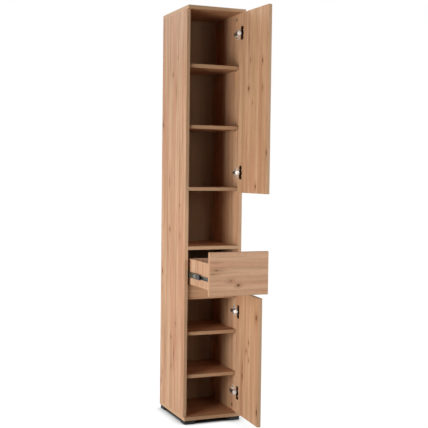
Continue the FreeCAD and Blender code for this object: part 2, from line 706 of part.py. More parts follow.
def build_runners():
    """Full-extension slides: the middle rail goes half as far as the drawer."""
    halfway = shifted(PULL * 0.5)
    for side, name in ((-1, "left"), (1, "right")):
        save(name + "_outer_rail", outer_rail(side))
        save(name + "_middle_rail", middle_rail(side), halfway)
        save(name + "_inner_rail", inner_rail(side), shifted(PULL))
    save("rail_stops", [rail_stop(side) for side in (-1, 1)], halfway)
    save("outer_ball_cages", [outer_cage(side) for side in (-1, 1)], shifted(PULL * 0.25))
    save("inner_ball_cages", [inner_cage(side) for side in (-1, 1)], shifted(PULL * 0.75))
    save("runner_screws", [s for side in (-1, 1) for s in rail_screws(side)])
    save("drawer_rail_screws", [s for side in (-1, 1) for s in box_screws(side)],
         shifted(PULL))


# --- drawer ----------------------------------------------------------------
def shifted(step):
    """Mover that shifts a shape."""
    def move(shape):
        shape.translate(step)
        return shape
    return move


def base_space(play):
    """Drawer base, grown by play for its grooves."""
    half = BOX_HALF - DRAWER_SIDE + DRAWER_GROOVE + play
    low = DRAWER_SIDE_BOTTOM + DRAWER_BASE_UP - play
    back = DOOR_IN + DRAWER_SIDE_LONG
    return box((-half, DOOR_IN - DRAWER_GROOVE - play, low),
               (half, back, low + DRAWER_BASE + 2 * play))


def drawer_side_x(side):
    return side * (BOX_HALF - DRAWER_SIDE), side * BOX_HALF


def drawer_cams():
    """Cams in the drawer sides and their bolts in the front."""
    cams, bolts = [], []
    for side in (-1, 1):
        face = side * (BOX_HALF - DRAWER_SIDE)
        x = side * (BOX_HALF - DRAWER_SIDE / 2)
        for z in (DRAWER_SIDE_BOTTOM + BOX_CAM_UP, BOX_TOP - BOX_CAM_DOWN):
            centre = Vector(face, DOOR_IN + CAM_EDGE, z)
            cams.append(Part.makeCylinder(CAM_R, BOX_CAM_DEPTH, centre, Vector(side, 0, 0)))
            bolts.append(rod((x, DOOR_IN - BOLT_FACE, z),
                             (x, DOOR_IN + CAM_EDGE - BOLT_SEAT, z), BOLT_R))
    return cams, bolts


def back_screws():
    """Screws through the drawer sides into the ends of its back."""
    screws = []
    y = DOOR_IN + DRAWER_SIDE_LONG - DRAWER_SIDE / 2
    for side in (-1, 1):
        for z in (DRAWER_SIDE_BOTTOM + BACK_SCREW_UP, BOX_TOP - BACK_SCREW_DOWN):
            inward = Vector(-side, 0, 0)
            outside = Vector(side * BOX_HALF, y, z)
            head = Part.makeCone(BACK_SCREW_HEAD_R, SCREW_R, SCREW_HEAD, outside, inward)
            shank = Part.makeCylinder(SCREW_R, BACK_SCREW_LONG - SCREW_HEAD,
                                      outside + inward * SCREW_HEAD, inward)
            screws.append(head.fuse(shank).removeSplitter())
    return screws


def build_drawer():
    go = shifted(PULL)
    cams, bolts = drawer_cams()
    screws = back_screws()
    front = box((-FRONT_HALF, DOOR_OUT, DRAWER_FRONT_BOTTOM),
                (FRONT_HALF, DOOR_IN, DRAWER_FRONT_TOP))
    front = eased(front, Vector(1, 0, 0), EDGE_ROUND)
    save("drawer_front", front.cut([base_space(GROOVE_PLAY)] + bolts), go)
    for side, name in ((-1, "left"), (1, "right")):
        a, b = sorted(drawer_side_x(side))
        board = box((a, DOOR_IN, DRAWER_SIDE_BOTTOM), (b, DOOR_IN + DRAWER_SIDE_LONG, BOX_TOP))
        tools = [base_space(GROOVE_PLAY)] + cams + bolts + screws + box_screws(side)
        save("drawer_" + name + "_side", board.cut(tools), go)
    half = BOX_HALF - DRAWER_SIDE
    end = DOOR_IN + DRAWER_SIDE_LONG
    base_top = DRAWER_SIDE_BOTTOM + DRAWER_BASE_UP + DRAWER_BASE + GROOVE_PLAY
    back = box((-half, end - DRAWER_SIDE, base_top), (half, end, BOX_TOP))
    save("drawer_back", back.cut(screws), go)
    save("drawer_base", base_space(0), go)
    save("drawer_cams", [c.cut(bolts) for c in cams], go)
    save("drawer_cam_bolts", bolts, go)
    save("drawer_back_screws", screws, go)


# --- wall angle ------------------------------------------------------------
def angle_screw():
    y = BACK_Y - ANGLE_SCREW_IN
    head = Part.makeCone(ANGLE_HEAD_R, SCREW_R, ANGLE_SHEET,
                         Vector(0, y, HEIGHT + ANGLE_SHEET), Vector(0, 0, -1))
    shank = rod((0, y, HEIGHT), (0, y, HEIGHT - SCREW_BITE), SCREW_R)
    return head.fuse(shank).removeSplitter()


def wall_angle():
    """Steel angle at the back of the top board, with a hole for a wall screw."""
    half = ANGLE_WIDE / 2
    flat = box((-half, BACK_Y - ANGLE_LEG, HEIGHT), (half, BACK_Y, HEIGHT + ANGLE_SHEET))
    leg = box((-half, BACK_Y - ANGLE_SHEET, HEIGHT), (half, BACK_Y, HEIGHT + ANGLE_LEG))
    z = HEIGHT + ANGLE_HOLE_UP
    hole = rod((0, BACK_Y - 2 * ANGLE_SHEET, z), (0, BACK_Y + ANGLE_SHEET, z), ANGLE_HOLE_R)
    return flat.fuse(leg).removeSplitter().cut([hole, angle_screw()])


# --- bumpers ---------------------------------------------------------------
def bumpers():
    """Soft dots on the left side's edge, one at each end of each front."""
    dots = []
    x = -(HALF - BOARD / 2)
    for low, high in (LOWER_DOOR, (DRAWER_FRONT_BOTTOM, DRAWER_FRONT_TOP), UPPER_DOOR):
        for z in (low + BUMPER_END, high - BUMPER_END):
            dots.append(rod((x, SIDE_Y, z), (x, DOOR_IN + BUMPER_AIR, z), BUMPER_R))
    return dots


# --- build -----------------------------------------------------------------
def build_carcass():
    cams, bolts, dowels = [a + b for a, b in zip(shelf_fittings(), end_fittings())]
    dowels += floor_rail_dowels()
    pins = loose_pins()
    corners = [(s, e) for s in (-1, 1) for e in (-1, 1)]
    foot_screws = [foot_screw(s, e) for s, e in corners]
    hinges = (hinge_heights(LOWER_DOOR, LOWER_HINGE_END)
              + hinge_heights(UPPER_DOOR, UPPER_HINGE_END))
    hinge_fixings = [s for z in hinges for s in plate_screws(z)]
    joints = cams + bolts + dowels + [panel_space()]
    for side, name in ((-1, "left_side"), (1, "right_side")):
        tools = joints + pins + rail_screws(side) + (hinge_fixings if side > 0 else [])
        save(name, cut_all(side_board(side), tools))
    save("bottom_board", cut_all(end_board(FLOOR_Z), joints + foot_screws))
    save("top_board", cut_all(end_board(ROOF_UNDER), joints + [angle_screw()]))
    for name, top, setback in (
            ("drawer_floor_shelf", DRAWER_FLOOR_TOP, FLOOR_RAIL_SETBACK + BOARD),
            ("drawer_roof_shelf", DRAWER_ROOF_TOP, 0.0),
            ("niche_roof_shelf", NICHE_ROOF_TOP, 0.0)):
        save(name, cut_all(fixed_shelf(top, setback), cams + bolts + dowels))
    save("drawer_floor_rail", floor_rail().cut(floor_rail_dowels()))
    loose = {"lower_loose_shelf": LOWER_LOOSE_TOPS, "upper_loose_shelf": UPPER_LOOSE_TOPS}
    for name, tops in loose.items():
        for number, top in enumerate(tops, 1):
            save(name + "_" + str(number), loose_shelf(top))
    save("back_panel", back_panel())
    save("cam_locks", [c.cut(bolts) for c in cams])
    save("cam_bolts", bolts)
    save("dowels", dowels)
    save("shelf_pins", pins)
    save("hinge_plate_screws", hinge_fixings)
    save("mounting_plates", [mounting_plate(z) for z in hinges])
    save("hinge_arms", [hinge_arm(z) for z in hinges])
    save("arm_pins", [p for z in hinges for p in arm_pins(z)])
    for s, e in corners:
        name = "foot_" + {-1: "front", 1: "back"}[e] + "_" + {-1: "left", 1: "right"}[s]
        save(name, foot(s, e))
    save("foot_screws", foot_screws)
    save("door_bumpers", bumpers())
    save("wall_angle", wall_angle())
    save("wall_angle_screw", angle_screw())


def main():
    os.makedirs("parts", exist_ok=True)
    build_carcass()
    build_door("upper", UPPER_DOOR, UPPER_HINGE_END, UPPER_OPEN)
    build_door("lower", LOWER_DOOR, LOWER_HINGE_END, LOWER_OPEN)
    build_runners()
    build_drawer()


main()
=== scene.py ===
"""Looks, light and camera for a tall bathroom cabinet in oak decor board.

Metres: X to the right, Y to the back, Z up. The origin lies on the floor under
the centre of the carcass. The doors stand open and the drawer is pulled out.
"""
import logging
import math
from dataclasses import dataclass, field
from enum import Enum
from typing import Any, Callable, Iterable

import bmesh
import bpy
from mathutils import Euler, Matrix, Vector


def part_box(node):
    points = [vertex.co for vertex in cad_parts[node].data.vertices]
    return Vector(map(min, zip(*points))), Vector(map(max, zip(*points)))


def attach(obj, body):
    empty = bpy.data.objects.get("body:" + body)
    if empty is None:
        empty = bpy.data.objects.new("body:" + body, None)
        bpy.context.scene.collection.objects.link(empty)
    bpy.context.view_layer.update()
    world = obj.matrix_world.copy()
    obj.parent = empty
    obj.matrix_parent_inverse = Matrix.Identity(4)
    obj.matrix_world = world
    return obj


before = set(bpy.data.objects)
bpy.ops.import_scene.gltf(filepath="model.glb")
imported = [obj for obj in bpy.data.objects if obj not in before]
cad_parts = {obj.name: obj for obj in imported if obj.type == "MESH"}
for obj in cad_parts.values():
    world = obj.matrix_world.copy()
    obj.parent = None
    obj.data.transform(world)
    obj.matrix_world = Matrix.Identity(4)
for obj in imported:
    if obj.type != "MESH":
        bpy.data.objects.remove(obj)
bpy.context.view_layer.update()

LOG = logging.getLogger("cabinet")
NODES: dict[str, bpy.types.Object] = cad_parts

Number = Any    # a plain number or a Value
Paint = tuple[float, float, float]


def paint(red: int, green: int, blue: int) -> Paint:
    """Turns a display colour, 0 to 255, into linear light by the sRGB curve.

    Args:
        red: red as displayed.
        green: green as displayed.
        blue: blue as displayed.

    Returns:
        The three linear channels.
    """
    def linear(step: int) -> float:
        """One channel in linear light."""
        share = step / 255
        return share / 12.92 if share <= 0.04045 else ((share + 0.055) / 1.055) ** 2.4
    return linear(red), linear(green), linear(blue)


class Value:
    """A number socket of a shader; arithmetic on it adds its Math nodes."""

    def __init__(self, shader: "Shader", socket: bpy.types.NodeSocket) -> None:
        """Keeps the output socket and its shader."""
        self.shader = shader
        self.socket = socket

    def math(self, operation: str, *others: Number) -> "Value":
        """Adds one Math node with this value first."""
        return self.shader.math(operation, self, *others)

    def __add__(self, other: Number) -> "Value":
        """Sum."""
        return self.math("ADD", other)

    def __sub__(self, other: Number) -> "Value":
        """Difference."""
        return self.math("SUBTRACT", other)

    def __rsub__(self, other: Number) -> "Value":
        """Difference with a plain number first."""
        return self.shader.math("SUBTRACT", other, self)

    def __mul__(self, other: Number) -> "Value":
        """Product."""
        return self.math("MULTIPLY", other)

    def __truediv__(self, other: Number) -> "Value":
        """Quotient."""
        return self.math("DIVIDE", other)

    def __rtruediv__(self, other: Number) -> "Value":
        """Quotient with a plain number first."""
        return self.shader.math("DIVIDE", other, self)

    __radd__ = __add__
    __rmul__ = __mul__

    def least(self, other: Number) -> "Value":
        """The smaller of this and another value."""
        return self.math("MINIMUM", other)

    def most(self, other: Number) -> "Value":
        """The larger of this and another value."""
        return self.math("MAXIMUM", other)

    def size(self) -> "Value":
        """The value without its sign."""
        return self.math("ABSOLUTE")

    def ramp(self, low: float, high: float) -> "Value":
        """Smooth step from 0 at low to 1 at high; low may be the larger one."""
        node = self.shader.node("ShaderNodeMapRange", {"interpolation_type": "SMOOTHSTEP"},
                                {"Value": self, "From Min": low, "From Max": high})
        return Value(self.shader, node.outputs["Result"])


class Shader:
    """The node tree of a material or world, with a single way to add any node."""

    def __init__(self, holder: bpy.types.Material | bpy.types.World) -> None:
        """Empties the node tree of a material or world."""
        self.holder = holder
        self.holder.use_nodes = True
        self.tree = self.holder.node_tree
        self.tree.nodes.clear()

    @classmethod
    def of_material(cls, name: str) -> "Shader":
        """Starts a new material with an empty tree."""
        return cls(bpy.data.materials.new(name))

    def node(self, kind: str, settings: dict[str, Any] | None = None,
             sockets: dict[str | int, Any] | None = None) -> bpy.types.Node:
        """Adds a node.

        Args:
            kind: the node's type.
            settings: properties that are set before the sockets.
            sockets: values or links of its inputs, by name or place.

        Returns:
            The new node.
        """
        made = self.tree.nodes.new(kind)
        for key, setting in (settings or {}).items():
            setattr(made, key, setting)
        for key, given in (sockets or {}).items():
            self.feed(made.inputs[key], given)
        return made

    def feed(self, socket: bpy.types.NodeSocket, given: Any) -> None:
        """Links a value or output to a socket, or sets a plain number or colour.

        Args:
            socket: the input to feed.
            given: a Value, an output socket, a number, a vector or a colour.
        """
        if isinstance(given, Value):
            self.tree.links.new(given.socket, socket)
        elif isinstance(given, bpy.types.NodeSocket):
            self.tree.links.new(given, socket)
        elif socket.type == "RGBA":
            socket.default_value = (*given[:3], 1.0)
        else:
            socket.default_value = given

    def math(self, operation: str, *inputs: Number) -> Value:
        """Adds one Math node and returns its result."""
        made = self.node("ShaderNodeMath", {"operation": operation}, dict(enumerate(inputs)))
        return Value(self, made.outputs[0])

    def mix(self, factor: Number, first: Any, second: Any) -> bpy.types.NodeSocket:
        """Blends two colours.

        Args:
            factor: share of the second colour.
            first: first colour, plain or linked.
            second: second colour, plain or linked.

        Returns:
            The blended colour.
        """
        made = self.node("ShaderNodeMix", {"data_type": "RGBA"}, {0: factor, 6: first, 7: second})
        return made.outputs[2]

    def vector(self, x: Number, y: Number, z: Number) -> bpy.types.NodeSocket:
        """Joins three values to a vector."""
        made = self.node("ShaderNodeCombineXYZ", None, {"X": x, "Y": y, "Z": z})
        return made.outputs[0]

    def parts(self, vector: bpy.types.NodeSocket) -> tuple[Value, Value, Value]:
        """Splits a vector into its three values."""
        made = self.node("ShaderNodeSeparateXYZ", None, {"Vector": vector})
        return tuple(Value(self, out) for out in made.outputs)

    def noise(self, place: Any, scale: float = 1.0, detail: float = 2.0,
              rough: float = 0.5) -> Value:
        """Fractal noise from 0 to 1 at a place.

        Args:
            place: the point that is looked up.
            scale: cells per unit of it.
            detail: how many finer layers are added.
            rough: how strong the finer layers are.

        Returns:
            The noise.
        """
        made = self.node("ShaderNodeTexNoise", None, {"Vector": place, "Scale": scale,
                                                      "Detail": detail, "Roughness": rough})
        return Value(self, made.outputs["Fac"])

    def place(self, centre: Vector, turn: float = 0.0) -> bpy.types.NodeSocket:
        """Object coordinates counted from a centre and turned about Z.

        Args:
            centre: the point that becomes zero, in metres.
            turn: degrees that the piece was turned by, which this takes out.

        Returns:
            The coordinates in metres.
        """
        source = self.node("ShaderNodeTexCoord").outputs["Object"]
        back = Euler((0, 0, -math.radians(turn))).to_matrix()
        shift = -(back @ Vector(centre))
        made = self.node("ShaderNodeMapping", {"vector_type": "POINT"},
                         {"Vector": source, "Location": shift,
                          "Rotation": Euler((0, 0, -math.radians(turn)))})
        return made.outputs[0]

    def facing(self, turn: float = 0.0) -> bpy.types.NodeSocket:
        """The piece's own surface direction.

        Args:
            turn: degrees that the piece was turned by, which this takes out.

        Returns:
            The direction.
        """
        source = self.node("ShaderNodeTexCoord").outputs["Normal"]
        made = self.node("ShaderNodeMapping", {"vector_type": "POINT"},
                         {"Vector": source, "Rotation": Euler((0, 0, -math.radians(turn)))})
        return made.outputs[0]

    def finish(self, sockets: dict[str, Any], height: Number, depth: float,
               strength: float) -> bpy.types.Material:
        """Ends the tree in a Principled shader with a relief.

        Args:
            sockets: inputs of the shader.
            height: relief from 0 to 1.
            depth: real height of the relief in metres.
            strength: share of the relief that shows.

        Returns:
            The material.
        """
        bump = self.node("ShaderNodeBump", None,
                         {"Height": height, "Distance": depth, "Strength": strength})
        surface = self.node("ShaderNodeBsdfPrincipled", None,
                            {**sockets, "Normal": bump.outputs[0]})
        self.node("ShaderNodeOutputMaterial", None, {"Surface": surface.outputs[0]})
        return self.holder


# --- finishes --------------------------------------------------------------
class Grain(Enum):
    """How a board lies: its across, through and along directions, as X, Y, Z places."""
    UPRIGHT_SIDE = (1, 0, 2)
    UPRIGHT_FRONT = (0, 1, 2)
    LEVEL_SHELF = (1, 2, 0)
    LEVEL_FRONT = (2, 1, 0)


@dataclass(frozen=True)
class Knot:
    """A knot of the decor, in metres from the board's centre."""
    across: float
    along: float
    wide: float = 0.004
    long: float = 0.008
    fade: float = 0.0               # 0 for a dark core, 1 for a faint halo alone


@dataclass(frozen=True)
class Streaks:
    """One layer of the oak print: noise that is drawn out along the grain."""
    across: float                   # cells per metre across the board
    along: float                    # cells per metre along the grain
    span: tuple[float, float]       # noise at which the layer starts and is full
    share: float = 1.0              # how much of its colour shows where it is full
    shift: float = 0.0              # keeps layers of like size apart
    deep: float = 1.0               # how fast it changes through the board
    detail: float = 1.5

    def noise(self, shader: Shader, across: Value, deep: Value, along: Value) -> Value:
        """The layer's noise at a place on the board.

        Args:
            shader: the material's shader.
            across: place across the board, bent round the knots.
            deep: place through the board.
            along: place along the grain.

        Returns:
            The noise from 0 to 1.
        """
        spot = shader.vector(across * self.across + self.shift, deep * self.deep,
                             along * self.along)
        return shader.noise(spot, detail=self.detail)

    def shows(self, noise: Value, contrast: float = 1.0) -> Value:
        """Share of the layer's colour that shows where the noise is so high."""
        return noise.ramp(*self.span) * (self.share * contrast)


HUE = Streaks(42, 1.6, (0.38, 0.60), shift=7, detail=1.0)
WIDE = Streaks(30, 1.1, (0.42, 0.62), 0.9)
STRIPE = Streaks(52, 2.4, (0.48, 0.72), 0.46, shift=13)
MIDDLE = Streaks(110, 3.6, (0.46, 0.74), 0.66, deep=2, detail=3.0)
FINE = Streaks(480, 13, (0.47, 0.78), 0.5, deep=4, detail=3.0)
PORES = Streaks(1500, 55, (0.62, 0.74), 0.35, deep=8, detail=1.0)


@dataclass(frozen=True)
class OakDecor:
    """Printed oak with streaks, pores and knots, and a plainer edge band.

    The knots bend the streaks aside. Sizes are in metres, or in knot sizes where
    they count from a knot.
    """
    name: str
    grain: Grain
    seed: float
    pale: Paint = paint(218, 176, 139)
    tan: Paint = paint(204, 160, 121)
    rose: Paint = paint(204, 153, 119)
    streak: Paint = paint(164, 116, 80)
    knot: Paint = paint(98, 56, 31)
    band: Paint = paint(207, 169, 134)
    knots: tuple[Knot, ...] = ()
    lines: tuple[float, ...] = ()   # dark lines of the print, across from the centre
    turn: float = 0.0               # degrees that the board stands open
    contrast: float = 1.0           # strength of the dark streaks
    wander: float = 0.016           # how far the streaks wander sideways
    wander_cells: tuple[float, float] = (9, 2.6)    # across and along, per metre
    knot_bend: float = 0.005        # how far a knot pushes the streaks aside
    depth_cells: float = 30         # the print's cells per metre through the board
    halo: tuple[float, float] = (4.5, 0.8)      # knot sizes, from clear to full
    halo_share: float = 0.6
    core: tuple[float, float] = (1.25, 0.55)
    core_share: float = 0.9
    line_half: tuple[float, float] = (0.0022, 0.0006)   # dark line, from clear to full
    line_share: float = 0.55
    line_wander: float = 0.004
    line_shift: float = 0.002       # takes out the middle of that wander
    edge_cells: tuple[float, float] = (900, 9)      # across and along, per metre
    edge_span: tuple[float, float] = (0.45, 0.75)
    edge_share: float = 0.35
    pin_cells: tuple[float, float, float] = (14, 40, 5)     # pin knots' cells per metre
    pin_rare: tuple[float, float] = (0.80, 0.72)    # which cells stay bare
    pin_skip: float = 4             # knot sizes that keep a bare cell clear
    pin_size: float = 16            # knot sizes in a cell
    roughness: float = 0.56
    rough_change: float = 0.12      # how much rougher the fine streaks are
    gloss: float = 0.16
    relief: float = 0.00012
    relief_share: float = 0.6

    def knot_distance(self, across: Value, along: Value) -> Value:
        """Distance to the nearest knot.

        Args:
            across: place across the board.
            along: place along the grain.

        Returns:
            The distance in knot sizes.
        """
        nearest = None
        for item in self.knots:
            side = (across - item.across) / item.wide
            end = (along - item.along) / item.long
            far = (side * side + end * end).math("SQRT") + item.fade
            nearest = far if nearest is None else nearest.least(far)
        return nearest

    def scattered(self, shader: Shader, across: Value, through: Value,
                  along: Value) -> Value:
        """Distance to small pin knots that are strewn thinly over the board.

        Args:
            shader: the material's shader.
            across: place across the board.
            through: place through the board.
            along: place along the grain.

        Returns:
            The distance in knot sizes.
        """
        wide, thick, long = self.pin_cells
        spot = shader.vector(across * wide + self.seed, through * thick, along * long)
        cells = shader.node("ShaderNodeTexVoronoi", {"feature": "F1"},
                            {"Vector": spot, "Scale": 1.0, "Randomness": 1.0})
        keep = Value(shader, shader.node(
            "ShaderNodeSeparateColor", None, {"Color": cells.outputs["Color"]}).outputs[0])
        skip = keep.ramp(*self.pin_rare) * self.pin_skip
        return Value(shader, cells.outputs["Distance"]) * self.pin_size + skip

    def material(self, centre: Vector) -> bpy.types.Material:
        """Builds the decor for a board.

        Args:
            centre: the board's centre at rest, in metres.

        Returns:
            The material.
        """
        shader = Shader.of_material(self.name)
        axes = shader.parts(shader.place(centre, self.turn))
        across, through, along = (axes[i] for i in self.grain.value)
        near = self.scattered(shader, across, through, along)
        if self.knots:
            near = near.least(self.knot_distance(across, along))
        halo = near.ramp(*self.halo)
        core = near.ramp(*self.core)
        wide_cells, long_cells = self.wander_cells
        spot = shader.vector(across * wide_cells, self.seed, along * long_cells)
        wander = shader.noise(spot, detail=1.5)
        bent = across + wander * self.wander + halo * self.knot_bend
        deep = through * self.depth_cells + self.seed
        hue, wide, stripe, middle, fine, pores = (
            layer.noise(shader, bent, deep, along)
            for layer in (HUE, WIDE, STRIPE, MIDDLE, FINE, PORES))
        colour = shader.mix(HUE.shows(hue), self.tan, self.rose)
        colour = shader.mix(WIDE.shows(wide), colour, self.pale)
        for layer, noise in ((STRIPE, stripe), (MIDDLE, middle), (FINE, fine)):
            colour = shader.mix(layer.shows(noise, self.contrast), colour, self.streak)
        colour = shader.mix(PORES.shows(pores), colour, self.knot)
        colour = shader.mix(halo * halo * self.halo_share, colour, self.streak)
        for line in self.lines:
            gap = (across + wander * self.line_wander - (line + self.line_shift)).size()
            shows = gap.ramp(*self.line_half) * self.line_share
            colour = shader.mix(shows, colour, self.streak)
        colour = shader.mix(core * self.core_share, colour, self.knot)
        colour = shader.mix(self.on_edge(shader), colour,
                            self.edge_band(shader, across, through, along))
        height = fine * 0.4 + 0.6 - pores.ramp(*PORES.span) * 0.5 - core * 0.3
        return shader.finish(
            {"Base Color": colour, "Roughness": self.roughness + fine * self.rough_change,
             "Specular IOR Level": self.gloss}, height, self.relief, self.relief_share)

    def edge_band(self, shader: Shader, across: Value, through: Value,
                  along: Value) -> bpy.types.NodeSocket:
        """Colour of the banded edges, with thin lines along them.

        Args:
            shader: the material's shader.
            across: place across the board.
            through: place through the board.
            along: place along the grain.

        Returns:
            The colour.
        """
        narrow, long = self.edge_cells
        lines = shader.noise(shader.vector(across * narrow, through * narrow, along * long))
        return shader.mix(lines.ramp(*self.edge_span) * self.edge_share, self.band, self.streak)

    def on_edge(self, shader: Shader) -> Value:
        """1 on the banded edges of the board, 0 on its two faces."""
        direction = shader.parts(shader.facing(self.turn))
        return direction[self.grain.value[1]].size().ramp(0.75, 0.55)


@dataclass(frozen=True)
class Hardboard:
    """Plain brown wood fibre: the thin panels and the dowels."""
    name: str
    main: Paint
    shade: Paint
    broad_cells: tuple[float, float] = (22, 1.3)    # level and upright, per metre
    fibre_cells: tuple[float, float] = (600, 40)
    roughness: float = 0.62
    rough_change: float = 0.15
    gloss: float = 0.3
    relief: float = 0.0001
    relief_share: float = 0.5

    def material(self) -> bpy.types.Material:
        """Builds the panel's material.

        Returns:
            The material.
        """
        shader = Shader.of_material(self.name)
        x, y, z = shader.parts(shader.place(Vector((0, 0, 0))))
        level, upright = self.broad_cells
        broad = shader.noise(shader.vector(x * level, y * level, z * upright))
        level, upright = self.fibre_cells
        fibre = shader.noise(shader.vector(x * level, y * level, z * upright), detail=3.0)
        colour = shader.mix(broad.ramp(0.35, 0.7) * 0.6 + fibre * 0.3, self.main, self.shade)
        return shader.finish(
            {"Base Color": colour, "Roughness": self.roughness + fibre * self.rough_change,
             "Specular IOR Level": self.gloss}, fibre, self.relief, self.relief_share)


@dataclass(frozen=True)
class Moulded:
    """Moulded plastic or rubber with a fine sparked texture."""
    name: str
    main: Paint
    roughness: float
    texture: float = 1400.0         # cells per metre of the sparked surface
    cloud_cells: float = 30.0       # of the faint clouds, per metre
    lighter: tuple[float, float] = (1.35, 0.004)    # the clouds' colour: times and plus
    rough_change: float = 0.1
    relief: float = 0.00006
    relief_share: float = 0.5

    def material(self) -> bpy.types.Material:
        """Builds the plastic's material.

        Returns:
            The material.
        """
        shader = Shader.of_material(self.name)
        spot = shader.place(Vector((0, 0, 0)))
        spark = shader.noise(spot, self.texture)
        cloud = shader.noise(spot, self.cloud_cells)
        times, plus = self.lighter
        lighter = tuple(min(1.0, channel * times + plus) for channel in self.main)
        colour = shader.mix(cloud * 0.7 + spark * 0.2, self.main, lighter)
        return shader.finish(
            {"Base Color": colour, "Roughness": self.roughness + spark * self.rough_change},
            spark, self.relief, self.relief_share)


@dataclass(frozen=True)
class Metal:
    """Plated or drawn metal with faint handling marks."""
    name: str
    main: Paint
    tarnish: Paint
    roughness: float
    marks: float = 0.15             # how much the roughness varies
    lines: tuple[float, float, float] = (300.0, 300.0, 300.0)   # brushing, cells per metre
    cloud_cells: float = 55.0
    relief: float = 0.00002
    relief_share: float = 0.5

    def material(self) -> bpy.types.Material:
        """Builds the metal's material.

        Returns:
            The material.
        """
        shader = Shader.of_material(self.name)
        spot = shader.place(Vector((0, 0, 0)))
        x, y, z = shader.parts(spot)
        cloud = shader.noise(spot, self.cloud_cells, detail=3.0, rough=0.6)
        brush = shader.noise(shader.vector(x * self.lines[0], y * self.lines[1],
                                           z * self.lines[2]))
        colour = shader.mix(cloud.ramp(0.4, 0.7) * 0.6 + brush * 0.25, self.main, self.tarnish)
        return shader.finish(
            {"Base Color": colour, "Metallic": 1.0,
             "Roughness": self.roughness + (cloud - 0.5) * self.marks + brush * 0.06},
            brush, self.relief, self.relief_share)


# --- new meshes ------------------------------------------------------------
def add_piece(name: str, build: Callable[[bmesh.types.BMesh], None],
              material: bpy.types.Material, body: str) -> bpy.types.Object:
    """Makes one new piece with its place in its mesh.

    Args:
        name: the piece's name.
        build: fills an empty bmesh, in metres at rest.
        material: the piece's finish.
        body: the body that carries it.

    Returns:
        The new object.
    """
    work = bmesh.new()
    build(work)
    bmesh.ops.recalc_face_normals(work, faces=work.faces)
    mesh = bpy.data.meshes.new(name)
    work.to_mesh(mesh)
    work.free()
    mesh.materials.append(material)
    piece = bpy.data.objects.new(name, mesh)
    bpy.context.scene.collection.objects.link(piece)
    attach(piece, body)
    LOG.info("%s rides on %s, %d faces", name, body, len(mesh.polygons))
    return piece


def dress(nodes: Iterable[str], material: bpy.types.Material) -> None:
    """Gives CAD nodes a finish.

    Args:
        nodes: the nodes' names.
        material: the finish.
    """
    for name in nodes:
        slots = NODES[name].data.materials
        slots.clear()
        slots.append(material)
        LOG.info("%s dressed in %s", name, material.name)


def middle_of(node: str) -> Vector:
    """Centre of a CAD node's box."""
    low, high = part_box(node)
    return (low + high) / 2


